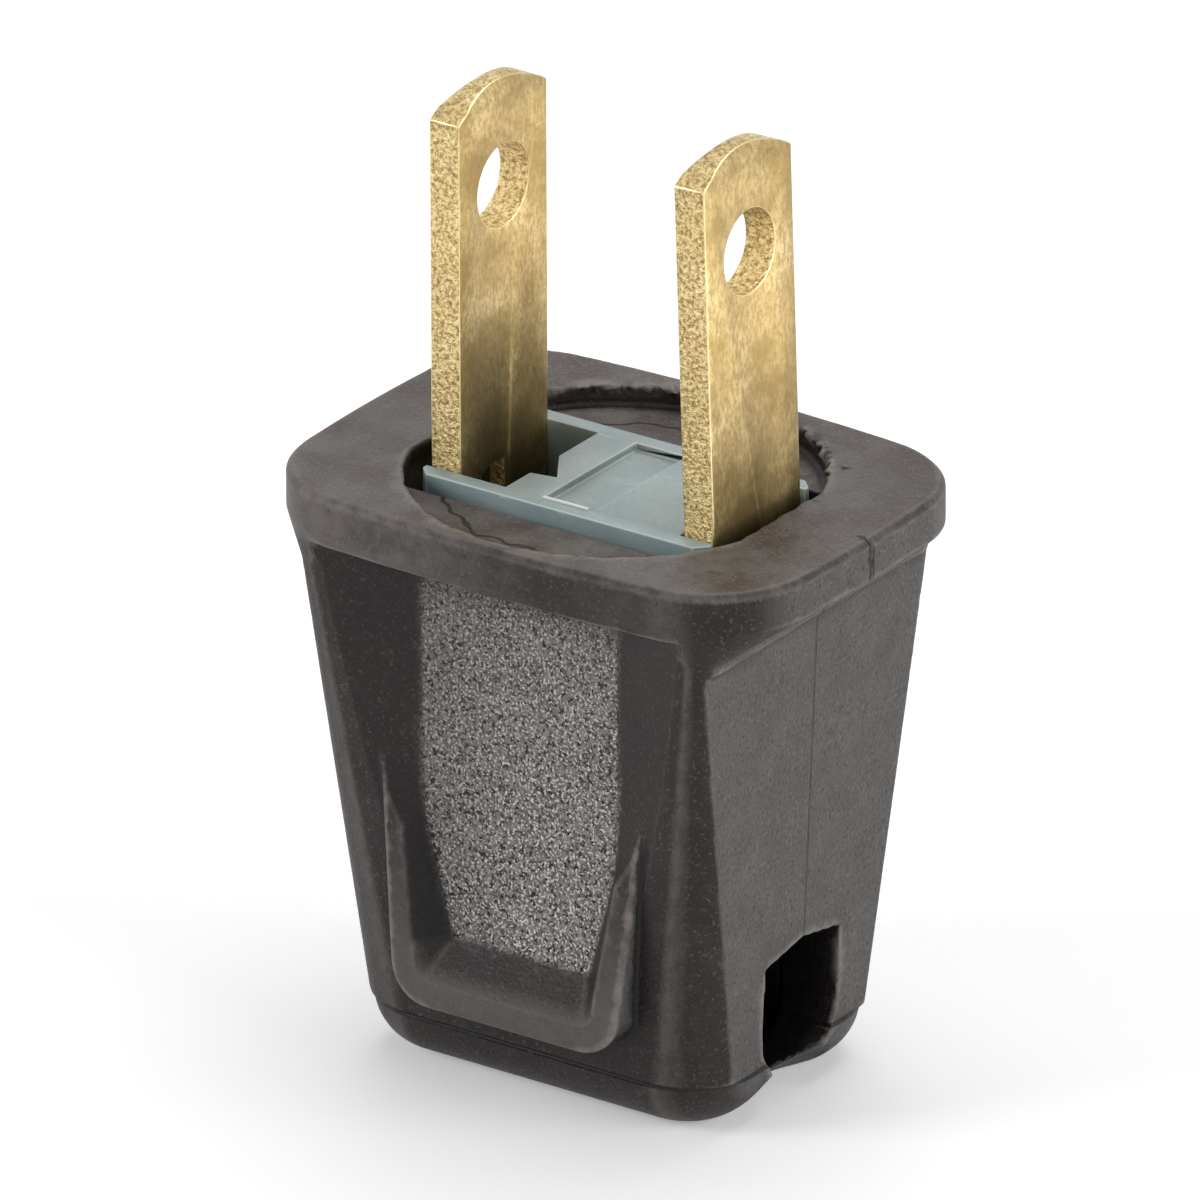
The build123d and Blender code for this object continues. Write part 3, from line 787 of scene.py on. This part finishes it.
bump = add(tree, "Bump", {"Height": add(tree, "Math", (haze, marks), **PLUS),
                          "Strength": NYLON_BUMP_STRENGTH, "Distance": NYLON_BUMP_DEPTH})
shader = add(tree, "BsdfPrincipled", {
    "Base Color": colour, "Roughness": add(tree, "MapRange", (marks, 0.3, 0.7, 0.3, 0.5)),
    "IOR": NYLON_IOR, "Normal": bump, "Subsurface Weight": NYLON_SUBSURFACE,
    "Subsurface Radius": NYLON_TRAVEL, "Subsurface Scale": 1.0})
add(tree, "OutputMaterial", (shader,))

pale_nylon = {}
# The rounded edges are paler as rubbing and as a painted highlight; the strip of flash is paler because
# it is thin.
for name, tint, roughness in (
        ("rubbed_highlit_nylon_edge", "#c3cdcb", 0.4),
        ("squeezed_out_nylon", "#f2f6f5", 0.3)):
    pale_nylon[name], tree = new_material(name)
    shader = add(tree, "BsdfPrincipled", {
        "Base Color": linear(tint), "Roughness": roughness, "IOR": NYLON_IOR})
    add(tree, "OutputMaterial", (shader,))
nylon.data.materials[0] = natural_nylon
nylon.data.materials[1] = pale_nylon["rubbed_highlit_nylon_edge"]
strip.data.materials.append(pale_nylon["squeezed_out_nylon"])
print("Nylon finishes:", ["natural_nylon", *pale_nylon])

# %% [markdown]
# The blades are stamped from brass strip. Their broad faces were rolled, which left fine
# lines along the blade, and then handled for years, so the metal is mottled from clean
# gold to dull olive, darker towards the housing where it was never wiped. The faces that
# the press sheared are rougher and brighter. Three finishes share one recipe: a pale and
# a deep tone in clouds, a grain, dull specks, and a dull foot and tip. The rolled lines
# are in truth finer than the render can show, so they are drawn 0.2 mm wide.

# %% Brass: the recipe
TARNISH_MM = 2.6
SPECK_MM = 0.2
FOOT_DULLS = (flange_top - 1 * MM, flange_top + 8 * MM)
TIP_DULLS = (cad_high.z - 1.6 * MM, cad_high.z - 0.7 * MM)
TIP_SHARE = 0.45
SPECK_HEIGHT = 0.5
ROUGHNESS_SPREAD = 0.2


def brass(name, pale, deep, dull, clouding, foot_share, roughness, grain_mm, grain_depth_mm, stretch):
    """Brass with tarnish in clouds, a directional or even grain, and a dull foot and tip."""
    material, tree = new_material(name)
    place = add(tree, "TexCoord", output="Object")
    stretched = add(tree, "Mapping", {"Vector": place, "Scale": stretch})
    tarnish, specks, lines = (
        add(tree, "TexNoise", {"Vector": where, "Scale": per_metre(width), "Detail": octaves,
                               "Roughness": rough, "Distortion": distortion})
        for where, width, octaves, rough, distortion in (
            (place, TARNISH_MM, 5, 0.6, 0.4),
            (place, SPECK_MM, 3, 0.7, 0),
            (stretched, grain_mm, 4, 0.75, 0)))
    up = add(tree, "SeparateXYZ", (place,), output="Z")
    dulled = add(tree, "Math", (add(tree, "MapRange", (up, *FOOT_DULLS, foot_share, 0)),
                                add(tree, "MapRange", (up, *TIP_DULLS, 0, TIP_SHARE))), **LARGER)
    dulled = add(tree, "Math", (dulled, add(tree, "MapRange", (tarnish, 0.25, 0.6, 0.45, 1))), **TIMES)
    colour = linear(pale)
    for mask, tint in (
            (add(tree, "MapRange", (tarnish, 0.35, 0.65, 0, clouding)), deep),
            (add(tree, "MapRange", (lines, 0.42, 0.6, 0, 0.8)), deep),
            (dulled, dull),
            (add(tree, "MapRange", (specks, 0.62, 0.8, 0, 0.7)), dull)):
        colour = add(tree, "Mix", {AMOUNT: mask, UNDER: colour, OVER: linear(tint)}, **BLEND)
    height = add(tree, "Math", (lines, add(tree, "Math", (specks, SPECK_HEIGHT), **TIMES)), **PLUS)
    bump = add(tree, "Bump", {"Height": height, "Strength": 1.0, "Distance": grain_depth_mm * MM})
    shine = add(tree, "MapRange", (tarnish, 0.3, 0.7, roughness, roughness + ROUGHNESS_SPREAD))
    shader = add(tree, "BsdfPrincipled", {
        "Base Color": colour, "Metallic": 1.0, "Roughness": shine, "Normal": bump})
    add(tree, "OutputMaterial", (shader,))
    return material


# %% [markdown]
# Rolled brass has the deepest tarnish and its grain is drawn out along the blade. Sheared
# brass has a coarse, deep grain without direction. The burnished edges between them are
# the palest and smoothest, because everything that touches a blade rubs them.

# %% Brass: rolled, sheared and burnished
finishes = (
    brass("rolled_brass", pale="#ecd29a", deep="#b0965f", dull="#594d33", clouding=0.85, foot_share=0.9,
          roughness=0.38, grain_mm=0.2, grain_depth_mm=0.014, stretch=(1, 1, 0.5)),
    brass("sheared_brass", pale="#ffe8ac", deep="#86642f", dull="#6b5833", clouding=0.2, foot_share=0.1,
          roughness=0.3, grain_mm=0.2, grain_depth_mm=0.12, stretch=(1, 1, 1)),
    brass("burnished_brass_edge", pale="#ffefc0", deep="#e3c98e", dull="#8d7748", clouding=0.6,
          foot_share=0.3, roughness=0.22, grain_mm=0.3, grain_depth_mm=0.01, stretch=(1, 1, 1)))
ROLLED, SHEARED, BURNISHED = range(len(finishes))

# %% [markdown]
# Which finish a face gets follows from the way it faces. The press sheared the two long
# edges, the tip and the wall of the hole, and the rolls made the rest. The rounded edges
# already have the last slot, from the bevel, and keep it.

# %% Brass: the faces of the blades
SHEARED_FROM = 0.72
HOLE_WALL_BELOW = 0.5
HOLE_REACH = 2.2 * MM

for blade in blades.values():
    for slot, finish in enumerate(finishes):
        blade.data.materials[slot] = finish
    for face in blade.data.polygons:
        if face.material_index == BURNISHED:
            continue
        above_flange = face.center.z > flange_top
        on_edge = abs(face.normal.y) > SHEARED_FROM
        on_tip = face.normal.z > SHEARED_FROM and above_flange
        by_hole = abs(face.center.y) < HOLE_REACH and above_flange
        in_hole = abs(face.normal.x) < HOLE_WALL_BELOW and by_hole
        face.material_index = SHEARED if on_edge or on_tip or in_hole else ROLLED
    used = [face.material_index for face in blade.data.polygons]
    print(blade.name, "faces rolled:", used.count(ROLLED), "sheared:", used.count(SHEARED),
          "burnished:", used.count(BURNISHED))

# %% [markdown]
# The table is a matt white board, which shows only the plug's soft shadow. To the camera,
# and in gloss, it and the world are white, so the picture's background is white while the
# light on the plug stays at a plain level.

# %% Table and backdrop
TABLE_COLOUR = "#fafafa"
TABLE_ROUGHNESS = 0.9
TABLE_GLOW = 0.28
WORLD_LIGHT = 0.22
WHITE = (1, 1, 1, 1)


def seen_as_white(tree):
    """One where the camera, a reflection or a refraction looks, and nothing for other light."""
    path = add(tree, "LightPath").node.outputs
    either = add(tree, "Math", (path["Is Camera Ray"], path["Is Glossy Ray"]), **LARGER)
    return add(tree, "Math", (either, path["Is Transmission Ray"]), **LARGER)


table, tree = new_material("white_table")
paint = add(tree, "BsdfPrincipled", {
    "Base Color": linear(TABLE_COLOUR), "Roughness": TABLE_ROUGHNESS, "Emission Color": WHITE,
    "Emission Strength": add(tree, "MapRange", (seen_as_white(tree), 0, 1, 0, TABLE_GLOW))})
add(tree, "OutputMaterial", (paint,))
floor.data.materials.append(table)

world = bpy.data.worlds.new("studio_world")
world.use_nodes = True
bpy.context.scene.world = world
background = world.node_tree.nodes["Background"]
background.inputs["Color"].default_value = WHITE
strength = add(world.node_tree, "MapRange", (seen_as_white(world.node_tree), 0, 1, WORLD_LIGHT, 1.0))
world.node_tree.links.new(strength, background.inputs["Strength"])
print("World light:", WORLD_LIGHT)
